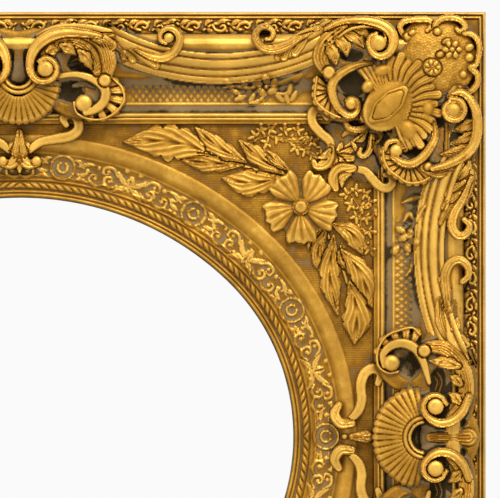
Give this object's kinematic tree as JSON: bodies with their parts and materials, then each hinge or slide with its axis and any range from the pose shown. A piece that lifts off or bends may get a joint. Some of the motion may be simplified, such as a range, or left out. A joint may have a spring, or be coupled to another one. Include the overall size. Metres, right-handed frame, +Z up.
{
  "type": "ornate picture frame",
  "caption": "Wide gilded picture frame with an oval opening, carved cartouches, swept reeded sides and floral sprays, hung on a wall by rings on its back.",
  "frame": {"origin": "middle of the bounding box's bottom face: mid width, mid depth, bottom edge of the hanging frame", "axes": "+X along the frame's width to the right as seen from the front, -Y out of the wall towards the viewer, +Z up"},
  "size_m": [0.99, 0.076, 0.902],
  "materials": {
    "gilded_wood": "antique gold over gesso, worn dark in the hollows, bare wood at the back",
    "gilded_cast": "cast composition ornament in antique gold with a grey-brown wash in the hollows",
    "brass_fixing": "plain rolled brass",
    "zinc_fixing": "zinc plated steel",
    "felt_pad": "dark felt"
  },
  "bodies": {
    "frame": {"rail_top": "gilded_wood", "rail_bottom": "gilded_wood", "rail_right": "gilded_wood", "rail_left": "gilded_wood", "spandrel_board": "gilded_wood", "oval_moulding": "gilded_wood", "corner_ornament_top_right": "gilded_cast", "corner_ornament_top_left": "gilded_cast", "corner_ornament_bottom_right": "gilded_cast", "corner_ornament_bottom_left": "gilded_cast", "centre_ornament_top": "gilded_cast", "centre_ornament_bottom": "gilded_cast", "centre_ornament_right": "gilded_cast", "centre_ornament_left": "gilded_cast", "vine_long_top_right": "gilded_cast", "vine_long_top_left": "gilded_cast", "vine_long_bottom_right": "gilded_cast", "vine_long_bottom_left": "gilded_cast", "vine_short_top_right": "gilded_cast", "vine_short_top_left": "gilded_cast", "vine_short_bottom_right": "gilded_cast", "vine_short_bottom_left": "gilded_cast", "spray_top_right": "gilded_cast", "spray_top_left": "gilded_cast", "spray_bottom_right": "gilded_cast", "spray_bottom_left": "gilded_cast", "turn_button_pins": "zinc_fixing", "board_points": "zinc_fixing", "hanger_straps": "zinc_fixing", "wall_pad_right": "felt_pad", "wall_pad_left": "felt_pad"},
    "turn_button_top": {"turn_button_top": "brass_fixing"},
    "turn_button_bottom": {"turn_button_bottom": "brass_fixing"},
    "turn_button_right": {"turn_button_right": "brass_fixing"},
    "turn_button_left": {"turn_button_left": "brass_fixing"},
    "hanger_ring_right": {"hanger_ring_right": "zinc_fixing"},
    "hanger_ring_left": {"hanger_ring_left": "zinc_fixing"}
  },
  "joints": [
    {"name": "turn_button_top_turn", "type": "hinge", "parent": "frame", "child": "turn_button_top", "pos_m": [0, 0.03205, 0.8037], "axis": [0, 1, 0], "continuous": true},
    {"name": "turn_button_bottom_turn", "type": "hinge", "parent": "frame", "child": "turn_button_bottom", "pos_m": [0, 0.03205, 0.0983], "axis": [0, 1, 0], "continuous": true},
    {"name": "turn_button_right_turn", "type": "hinge", "parent": "frame", "child": "turn_button_right", "pos_m": [0.3967, 0.03205, 0.451], "axis": [0, 1, 0], "continuous": true},
    {"name": "turn_button_left_turn", "type": "hinge", "parent": "frame", "child": "turn_button_left", "pos_m": [-0.3967, 0.03205, 0.451], "axis": [0, 1, 0], "continuous": true},
    {"name": "hanger_ring_right_swing", "type": "hinge", "parent": "frame", "child": "hanger_ring_right", "pos_m": [0.441, 0.0341, 0.69905], "axis": [1, 0, 0], "range_deg": [0, 180]},
    {"name": "hanger_ring_left_swing", "type": "hinge", "parent": "frame", "child": "hanger_ring_left", "pos_m": [-0.441, 0.0341, 0.69905], "axis": [1, 0, 0], "range_deg": [0, 180]}
  ]
}
